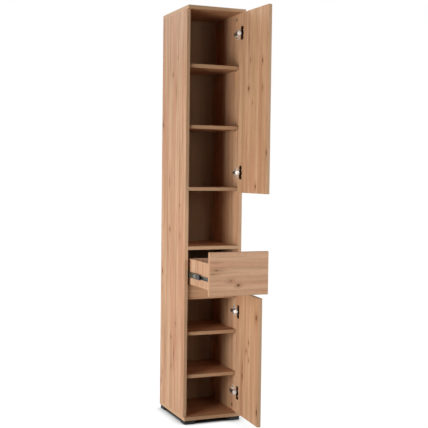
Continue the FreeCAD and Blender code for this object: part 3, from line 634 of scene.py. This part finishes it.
# --- sub-assemblies --------------------------------------------------------
@dataclass
class Carcass:
    """Sides, top, bottom, shelves, back and the fittings that join them."""
    left_knots: tuple[Knot, ...] = (
        Knot(0.013, 0.650, 0.0045, 0.011), Knot(-0.048, 0.722, 0.004, 0.010, 0.4),
        Knot(-0.035, 0.570, 0.004, 0.050, 0.45), Knot(0.148, 0.421, 0.006, 0.012),
        Knot(0.049, 0.147, 0.005, 0.045, 0.35), Knot(-0.089, 0.041, 0.005, 0.008, 0.2),
        Knot(0.042, -0.076, 0.006, 0.011, 0.1), Knot(-0.094, -0.100, 0.010, 0.014, 0.75),
        Knot(0.141, -0.286, 0.005, 0.012, 0.1), Knot(-0.047, -0.515, 0.005, 0.010, 0.35),
        Knot(0.013, -0.588, 0.007, 0.012, 0.3), Knot(-0.029, -0.658, 0.005, 0.048, 0.35),
        Knot(0.004, -0.724, 0.006, 0.009, 0.35), Knot(0.145, -0.823, 0.006, 0.010, 0.3))
    shelves: tuple[str, ...] = (
        "lower_loose_shelf_1", "lower_loose_shelf_2", "drawer_floor_shelf",
        "drawer_roof_shelf", "niche_roof_shelf", "upper_loose_shelf_1",
        "upper_loose_shelf_2")

    def build(self) -> None:
        """Dresses every board, foot and fitting of the carcass."""
        self.dress_boards()
        self.dress_fittings()

    def dress_boards(self) -> None:
        """Oak decor on the sides, the ends and the shelves, with painted shade: the shelves and
        ends get a darker, warmer copy of the oak.
        """
        left = OakDecor("left_side_oak", Grain.UPRIGHT_SIDE, 3.1, knots=self.left_knots,
                        pale=paint(213, 174, 140), tan=paint(199, 157, 123),
                        rose=paint(202, 150, 121), streak=paint(164, 118, 86))
        dress(["left_side"], left.material(middle_of("left_side")))
        right = OakDecor("right_side_oak", Grain.UPRIGHT_SIDE, 11.7, contrast=0.85)
        dress(["right_side"], right.material(middle_of("right_side")))
        # Painted shade: the shelves, top and bottom use a darker, warmer copy of the oak than the
        # sides, standing for the shade inside the carcass.
        for number, node in enumerate(self.shelves + ("top_board", "bottom_board")):
            decor = OakDecor(node + "_oak", Grain.LEVEL_SHELF, 20.3 + 3.7 * number,
                             pale=paint(200, 158, 122), tan=paint(185, 141, 104),
                             rose=paint(186, 134, 101), band=paint(202, 164, 129))
            dress([node], decor.material(middle_of(node)))
        rail = OakDecor("drawer_floor_rail_oak", Grain.LEVEL_FRONT, 61.9)
        dress(["drawer_floor_rail"], rail.material(middle_of("drawer_floor_rail")))
        panel = Hardboard("back_hardboard", paint(184, 157, 126), paint(163, 137, 107))
        dress(["back_panel"], panel.material())

    def dress_fittings(self) -> None:
        """Plastic feet, steel and zinc fittings, beech dowels."""
        feet = Moulded("foot_plastic", paint(8, 7, 6), 0.75)
        dress([n for n in NODES if n.startswith("foot_") and n != "foot_screws"],
              feet.material())
        steel = Metal("zinc_screw", paint(196, 194, 188), paint(150, 148, 142), 0.32)
        dress(["foot_screws", "cam_bolts", "wall_angle_screw", "runner_screws"],
              steel.material())
        cast = Metal("cam_zinc", paint(170, 170, 168), paint(132, 132, 130), 0.42)
        dress(["cam_locks"], cast.material())
        beech = Hardboard("beech_dowel", paint(205, 172, 128), paint(184, 148, 104))
        dress(["dowels"], beech.material())
        pin = Metal("shelf_pin_nickel", paint(200, 197, 190), paint(160, 156, 148), 0.22)
        dress(["shelf_pins"], pin.material())
        dot = Moulded("bumper_rubber", paint(196, 168, 138), 0.38)
        dress(["door_bumpers"], dot.material())
        sheet = Metal("wall_angle_zinc", paint(182, 183, 184), paint(148, 150, 152), 0.34)
        dress(["wall_angle"], sheet.material())


@dataclass
class HingeTrim:
    """Sheet-metal trim of one concealed hinge, in metres at rest."""
    name: str
    door: str                       # upper or lower
    height: float                   # of the hinge's middle
    inner_face: float = 0.125       # right side's inner face
    pivot: tuple[float, float] = (0.1019, -0.1595)      # inner link's pivot, X and Y
    link_reach: tuple[float, float] = (0.0036, 0.0196)  # plate's ends, from the pivot
    link_half: float = 0.0074       # half the plate's height
    link_lift: float = 0.0007       # half thickness of the CAD link
    slot_start: float = 0.0122      # the outer link's cheeks pass through two slots
    slot_z: tuple[float, float] = (0.00215, 0.00405)
    sheet: float = 0.0011           # thickness of the plate
    wing_y: tuple[float, float] = (-0.1450, -0.1235)
    wing_z: tuple[float, float] = (0.0088, 0.0215)
    wing_thick: float = 0.0028
    wing_middle: float = 0.0015     # from the side's inner face
    wing_corner: float = 0.003      # radius
    screw_y: float = -0.1405
    screw_r: float = 0.0026
    screw_high: float = 0.0012
    screw_rim: float = 0.0011       # width of the ring round the recess
    screw_recess: float = 0.0006
    web_face: float = 0.1020        # outer face of the hinge arm's web

    def build(self, bright: bpy.types.Material, plate: bpy.types.Material) -> None:
        """Builds the link plate, the wings' front halves and the adjusting screw.

        Args:
            bright: finish of the link plate and the screw.
            plate: finish of the wings.
        """
        add_piece(self.name + "_link_plate", self.link_plate, bright,
                  self.door + "_inner_links")
        add_piece(self.name + "_plate_wings", self.wings, plate, "carcass")
        add_piece(self.name + "_side_screw", self.side_screw, bright, "carcass")

    def link_plate(self, work: bmesh.types.BMesh) -> None:
        """Broad slotted plate along the front of the inner link.

        Args:
            work: the empty bmesh.
        """
        start = Vector((*self.pivot, self.height))
        low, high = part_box(self.door + "_inner_links")      # they end at its right front
        along = Vector((high.x - self.link_lift, low.y + self.link_lift, self.height)) - start
        along.normalize()
        front = Vector((along.y, -along.x, 0))
        near, far = self.link_reach
        bmesh.ops.create_grid(work, x_segments=1, y_segments=1, size=0.5)
        bmesh.ops.scale(work, vec=(far - near, 2 * self.link_half, 1), verts=work.verts)
        bmesh.ops.translate(work, vec=((near + far) / 2, 0, 0), verts=work.verts)
        cuts = [((0, sign * z, 0), (0, 1, 0)) for z in self.slot_z for sign in (-1, 1)]
        for point, normal in cuts + [((self.slot_start, 0, 0), (1, 0, 0))]:
            bmesh.ops.bisect_plane(work, geom=work.verts[:] + work.edges[:] + work.faces[:],
                                   plane_co=point, plane_no=normal)
        slots = [face for face in work.faces
                 if face.calc_center_median().x > self.slot_start
                 and self.slot_z[0] < abs(face.calc_center_median().y) < self.slot_z[1]]
        bmesh.ops.delete(work, geom=slots, context="FACES")
        raised = bmesh.ops.extrude_face_region(work, geom=work.faces[:])["geom"]
        bmesh.ops.translate(work, vec=(0, 0, self.sheet),
                            verts=[v for v in raised if isinstance(v, bmesh.types.BMVert)])
        turn = Matrix((along, Vector((0, 0, 1)), front)).transposed().to_4x4()
        spot = Matrix.Translation(start + front * self.link_lift)
        bmesh.ops.transform(work, matrix=spot @ turn, verts=work.verts)

    def wings(self, work: bmesh.types.BMesh) -> None:
        """Front halves of the two wings, as rounded plates on the side.

        Args:
            work: the empty bmesh.
        """
        for sign in (-1, 1):
            low, high = sorted(sign * z for z in self.wing_z)
            made = bmesh.ops.create_cube(work, size=1.0)
            size = Vector((self.wing_thick, self.wing_y[1] - self.wing_y[0], high - low))
            middle = Vector((self.inner_face - self.wing_middle, sum(self.wing_y) / 2,
                             self.height + (low + high) / 2))
            bmesh.ops.scale(work, vec=size, verts=made["verts"])
            own = set(made["verts"])
            corners = [e for e in work.edges if own.issuperset(e.verts)
                       and abs(e.verts[0].co.x - e.verts[1].co.x) > 0.5 * size.x]
            bmesh.ops.translate(work, vec=middle, verts=made["verts"])
            bmesh.ops.bevel(work, geom=corners, offset=self.wing_corner, segments=4,
                            profile=0.5, affect="EDGES", material=-1)

    def side_screw(self, work: bmesh.types.BMesh) -> None:
        """Tapered head of the sideways adjusting screw, with a recess.

        Args:
            work: the empty bmesh.
        """
        turn = Matrix.Rotation(math.radians(-90), 4, "Y")
        sunk = self.screw_high / 3
        spot = Vector((self.web_face - sunk, self.screw_y, self.height))
        bmesh.ops.create_cone(work, cap_ends=True, segments=20, radius1=self.screw_r,
                              radius2=self.screw_r * 0.8, depth=self.screw_high)
        cap = max(work.faces, key=lambda face: face.calc_center_median().z)
        bmesh.ops.inset_region(work, faces=[cap], thickness=self.screw_rim)
        bmesh.ops.translate(work, vec=(0, 0, -self.screw_recess), verts=cap.verts)
        bmesh.ops.transform(work, matrix=Matrix.Translation(spot) @ turn, verts=work.verts)


@dataclass
class Doors:
    """Both doors with their concealed hinges."""
    upper_open: float = 93.0        # degrees that the doors stand open
    lower_open: float = 87.0
    upper_knots: tuple[Knot, ...] = (
        Knot(0.040, 0.061, 0.006, 0.009), Knot(-0.088, 0.174, 0.004, 0.008),
        Knot(0.026, 0.188, 0.004, 0.009, 0.4), Knot(-0.092, 0.057, 0.004, 0.010, 0.45),
        Knot(0.002, -0.005, 0.003, 0.006, 0.2), Knot(0.044, 0.288, 0.004, 0.040, 0.5),
        Knot(-0.036, -0.381, 0.005, 0.010, 0.1), Knot(-0.134, -0.231, 0.004, 0.010))
    lower_knots: tuple[Knot, ...] = (
        Knot(-0.110, 0.196, 0.012, 0.018, 0.25), Knot(-0.022, 0.069, 0.004, 0.008, 0.1),
        Knot(0.002, 0.028, 0.006, 0.008, 0.5), Knot(-0.025, -0.010, 0.004, 0.007, 0.3),
        Knot(0.049, -0.060, 0.005, 0.028, 0.45), Knot(0.052, -0.098, 0.006, 0.016),
        Knot(-0.127, -0.223, 0.006, 0.016))
    hinge_heights: tuple[tuple[str, str, float], ...] = (
        ("upper", "low", 1.1595), ("upper", "high", 1.7995),
        ("lower", "low", 0.132), ("lower", "high", 0.513))

    def build(self) -> None:
        """Dresses the doors and hinges and adds the hinges' trim."""
        for node, turn, seed, knots in (
                ("upper_door", self.upper_open, 5.3, self.upper_knots),
                ("lower_door", self.lower_open, 8.9, self.lower_knots)):
            decor = OakDecor(node + "_oak", Grain.UPRIGHT_FRONT, seed, knots=knots, turn=turn,
                             contrast=0.88)
            dress([node], decor.material(middle_of(node)))
        plate = Metal("plate_nickel", paint(240, 228, 216), paint(206, 192, 178), 0.72).material()
        dress(["mounting_plates"], plate)
        # Painted reflection: the arms and outer links are nickel, coloured dark brown to stand
        # for the dark interior they reflect.
        arm = Metal("arm_nickel_painted_reflection", paint(92, 78, 66), paint(60, 48, 40), 0.26)
        dress(["hinge_arms", "upper_outer_links", "lower_outer_links"], arm.material())
        link = Metal("link_nickel", paint(182, 172, 164), paint(136, 127, 120), 0.46).material()
        dress(["upper_inner_links", "lower_inner_links"], link)
        # Painted reflection: the cups' nickel is coloured dark warm brown, standing for the brown
        # wood and dark interior the flanges reflect.
        cup = Metal("cup_nickel_painted_reflection", paint(104, 80, 64), paint(74, 52, 38), 0.28)
        dress(["upper_hinge_cups", "lower_hinge_cups"], cup.material())
        for door, place, height in self.hinge_heights:
            HingeTrim(door + "_" + place + "_hinge", door, height).build(link, plate)
        pin = Metal("pin_steel", paint(140, 140, 138), paint(110, 110, 108), 0.3)
        dress(["arm_pins", "upper_cup_pins", "lower_cup_pins"], pin.material())
        # Painted reflection: these zinc screws are coloured brown, like the cups, to stand for
        # the dark brown wood round them.
        screw = Metal("cup_screw_zinc_painted_reflection", paint(120, 98, 84), paint(84, 64, 52), 0.34)
        dress(["upper_cup_screws", "lower_cup_screws", "hinge_plate_screws"],
              screw.material())


@dataclass
class Drawer:
    """Drawer box with its front and the runners that carry it."""
    front_knots: tuple[Knot, ...] = (
        Knot(0.017, -0.107, 0.009, 0.026, 0.65), Knot(0.002, -0.124, 0.006, 0.020, 0.7),
        Knot(-0.030, -0.040, 0.007, 0.012, 0.6), Knot(-0.050, -0.004, 0.006, 0.009, 0.15))
    side_lines: tuple[float, ...] = (-0.108, -0.019, 0.068)     # dark lines of the print
    boss_radii: tuple[float, float] = (0.0026, 0.0078)
    boss_place: tuple[float, float] = (-0.2295, 0.692)      # Y and Z of the rail's hole
    boss_high: float = 0.0004

    def boss(self, work: bmesh.types.BMesh, face_x: float, outward: int) -> None:
        """Low pressed ring round the hole of a middle rail.

        Args:
            work: the empty bmesh.
            face_x: where the rail's outer face lies.
            outward: -1 on the left rail, 1 on the right one.
        """
        near, far = self.boss_radii
        made = bmesh.ops.create_grid(work, x_segments=1, y_segments=1, size=0.5)
        bmesh.ops.scale(work, vec=(self.boss_high, far - near, 1), verts=made["verts"])
        middle_x = face_x + outward * self.boss_high / 2
        bmesh.ops.translate(work, vec=(middle_x, (near + far) / 2, 0), verts=made["verts"])
        bmesh.ops.delete(work, geom=work.faces[:], context="FACES_ONLY")
        bmesh.ops.spin(work, geom=work.verts[:] + work.edges[:], axis=(1, 0, 0), cent=(0, 0, 0),
                       steps=32, angle=math.tau, use_merge=True)
        bmesh.ops.remove_doubles(work, verts=work.verts, dist=1e-6)
        bmesh.ops.translate(work, vec=(0, *self.boss_place), verts=work.verts)

    def build(self) -> None:
        """Dresses the drawer and its runners."""
        front = OakDecor("drawer_front_oak", Grain.LEVEL_FRONT, 14.2, knots=self.front_knots,
                         pale=paint(228, 184, 149), tan=paint(216, 172, 137),
                         rose=paint(220, 168, 137), streak=paint(178, 132, 99),
                         band=paint(194, 152, 118), contrast=0.6)
        dress(["drawer_front"], front.material(middle_of("drawer_front")))
        for node, grain, seed in (("drawer_left_side", Grain.UPRIGHT_SIDE, 31.0),
                                  ("drawer_right_side", Grain.UPRIGHT_SIDE, 37.5),
                                  ("drawer_back", Grain.UPRIGHT_FRONT, 41.3)):
            board = OakDecor(node + "_oak", grain, seed, pale=paint(216, 178, 145),
                             tan=paint(206, 164, 130), rose=paint(207, 160, 132),
                             lines=self.side_lines)
            dress([node], board.material(middle_of(node)))
        base = Hardboard("drawer_base_hardboard", paint(176, 142, 110), paint(156, 122, 92))
        dress(["drawer_base"], base.material())
        rail = Metal("rail_zinc", paint(92, 90, 82), paint(62, 59, 52), 0.30,
                     lines=(500.0, 12.0, 500.0))
        dress([side + "_" + part + "_rail" for side in ("left", "right")
               for part in ("outer", "middle", "inner")], rail.material())
        pressed = Metal("boss_zinc", paint(160, 158, 144), paint(124, 122, 110), 0.55).material()
        for side, outward in (("left", -1), ("right", 1)):
            low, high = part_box(side + "_middle_rail")
            face_x = low.x if outward < 0 else high.x
            add_piece(side + "_rail_boss",
                      lambda work, x=face_x, sign=outward: self.boss(work, x, sign),
                      pressed, "middle_rails")
        cage = Metal("cage_steel", paint(128, 128, 128), paint(96, 96, 96), 0.34)
        dress(["outer_ball_cages", "inner_ball_cages"], cage.material())
        stop = Moulded("stop_plastic", paint(22, 21, 21), 0.42)
        dress(["rail_stops"], stop.material())
        screw = Metal("drawer_screw_zinc", paint(196, 194, 188), paint(150, 148, 142), 0.3)
        dress(["drawer_cam_bolts", "drawer_back_screws", "drawer_rail_screws"],
              screw.material())
        cast = Metal("drawer_cam_zinc", paint(170, 170, 168), paint(132, 132, 130), 0.42)
        dress(["drawer_cams"], cast.material())


# --- studio ----------------------------------------------------------------
@dataclass(frozen=True)
class Lamp:
    """Soft rectangular lamp that faces the cabinet."""
    name: str
    azimuth: float                  # degrees left of straight in front
    distance: float                 # metres from the cabinet
    height: float
    size: tuple[float, float]       # width and height
    power: float                    # watts
    aim: float | None = None        # height it looks at, its own unless given

    def build(self) -> None:
        """Adds the lamp."""
        data = bpy.data.lights.new(self.name, "AREA")
        data.shape = "RECTANGLE"
        data.size, data.size_y = self.size
        data.energy = self.power
        lamp = bpy.data.objects.new(self.name, data)
        angle = math.radians(self.azimuth)
        lamp.location = (-self.distance * math.sin(angle), -self.distance * math.cos(angle),
                         self.height)
        aim_height = self.height if self.aim is None else self.aim
        aim = Vector((0, 0, aim_height)) - Vector(lamp.location)
        lamp.rotation_euler = aim.to_track_quat("-Z", "Y").to_euler()
        bpy.context.scene.collection.objects.link(lamp)


@dataclass
class Studio:
    """White floor, plain lamps and the camera of the photograph, in metres."""
    eye: Vector = field(default_factory=lambda: Vector((-1.6136, -4.0380, 1.1616)))
    heading: float = 0.3925         # radians from +Y towards +X
    dip: float = 0.0497             # radians below level
    roll: float = 0.0121            # radians
    focal_px: float = 913.6
    axis_px: tuple[float, float] = (212.62, 217.36)     # where the lens axis meets the picture
    picture_px: float = 428.0
    sensor: float = 36.0            # millimetres
    view_end: float = 100.0
    floor_half: float = 14.0
    floor_grey: float = 0.3         # the floor's own colour, which lights the cabinet
    floor_glow: float = 1.16        # just past white where the floor is clear
    glow_share: float = 0.88
    shadow_reach: float = 0.08      # the contact shadow's width
    shadow_span: tuple[float, float] = (0.12, 0.90)
    sky: float = 0.01               # light from all round
    lamps: tuple[Lamp, ...] = (
        Lamp("key_lamp", 58.5, 3.2, 1.0, (0.95, 1.7), 53.0),
        Lamp("side_lamp", 75.0, 3.2, 0.5, (0.8, 1.0), 30.0),
        Lamp("low_side_lamp", 104.0, 2.0, 0.35, (0.6, 0.6), 6.0),
        Lamp("front_lamp", -8.0, 4.2, 1.7, (0.6, 1.0), 8.0),
        Lamp("right_lamp", -58.0, 4.0, 1.3, (1.2, 1.8), 105.0),
        Lamp("back_lamp", 172.0, 3.2, 3.4, (1.6, 1.6), 130.0, 1.2))

    def build(self) -> None:
        """Builds the stage."""
        self.add_camera()
        self.add_floor()
        self.set_world()
        for lamp in self.lamps:
            lamp.build()

    def add_camera(self) -> None:
        """Camera with the photograph's place, direction and lens."""
        ahead = Vector((math.sin(self.heading) * math.cos(self.dip),
                        math.cos(self.heading) * math.cos(self.dip), -math.sin(self.dip)))
        level = Vector((math.cos(self.heading), -math.sin(self.heading), 0))
        up = level.cross(ahead)
        right = math.cos(self.roll) * level + math.sin(self.roll) * up
        up = -math.sin(self.roll) * level + math.cos(self.roll) * up
        data = bpy.data.cameras.new("camera")
        data.sensor_width = self.sensor
        data.lens = self.focal_px * self.sensor / self.picture_px
        middle = self.picture_px / 2
        data.shift_x = (middle - self.axis_px[0]) / self.picture_px
        data.shift_y = (self.axis_px[1] - middle) / self.picture_px
        data.clip_end = self.view_end
        camera = bpy.data.objects.new("camera", data)
        camera.matrix_world = Matrix((
            (right.x, up.x, -ahead.x, self.eye.x), (right.y, up.y, -ahead.y, self.eye.y),
            (right.z, up.z, -ahead.z, self.eye.z), (0, 0, 0, 1)))
        bpy.context.scene.collection.objects.link(camera)
        bpy.context.scene.camera = camera

    def seen(self, shader: Shader) -> Value:
        """Tells rays that show the background from those that light the cabinet.

        Args:
            shader: the shader of the floor or the world.

        Returns:
            1 for camera, glossy and transmission rays, 0 for others.
        """
        path = shader.node("ShaderNodeLightPath").outputs
        rays = [Value(shader, path[kind]) for kind in
                ("Is Camera Ray", "Is Glossy Ray", "Is Transmission Ray")]
        return rays[0].most(rays[1]).most(rays[2])

    def add_floor(self) -> None:
        """Floor that stays white and keeps the object's soft contact shadow."""
        work = bmesh.new()
        bmesh.ops.create_grid(work, x_segments=1, y_segments=1, size=self.floor_half)
        mesh = bpy.data.meshes.new("floor")
        work.to_mesh(mesh)
        work.free()
        shader = Shader.of_material("floor_white")
        nearby = shader.node("ShaderNodeAmbientOcclusion", {"samples": 16},
                             {"Distance": self.shadow_reach})
        open_sky = Value(shader, nearby.outputs["AO"]).ramp(*self.shadow_span)
        shade = shader.mix(open_sky, (0, 0, 0), (1, 1, 1))
        glow = shader.node("ShaderNodeEmission", None,
                           {"Color": shade, "Strength": self.floor_glow})
        matt = shader.node("ShaderNodeBsdfDiffuse", None, {"Color": (self.floor_grey,) * 3})
        both = shader.node("ShaderNodeMixShader", None,
                           {0: self.seen(shader) * self.glow_share, 1: matt.outputs[0],
                            2: glow.outputs[0]})
        shader.node("ShaderNodeOutputMaterial", None, {"Surface": both.outputs[0]})
        mesh.materials.append(shader.holder)
        floor = bpy.data.objects.new("floor", mesh)
        bpy.context.scene.collection.objects.link(floor)

    def set_world(self) -> None:
        """Faint light from all round, white where it is seen."""
        world = bpy.data.worlds.new("world")
        bpy.context.scene.world = world
        shader = Shader(world)
        level = self.seen(shader) * (1.0 - self.sky) + self.sky
        back = shader.node("ShaderNodeBackground", None, {"Color": (1, 1, 1), "Strength": level})
        shader.node("ShaderNodeOutputWorld", None, {"Surface": back.outputs[0]})


def main() -> None:
    """Builds every sub-assembly, then the studio."""
    logging.basicConfig(level=logging.INFO)
    for part in (Carcass(), Doors(), Drawer(), Studio()):
        part.build()
    bpy.context.scene.view_settings.view_transform = "Standard"
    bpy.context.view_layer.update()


if __name__ == "__main__":
    main()
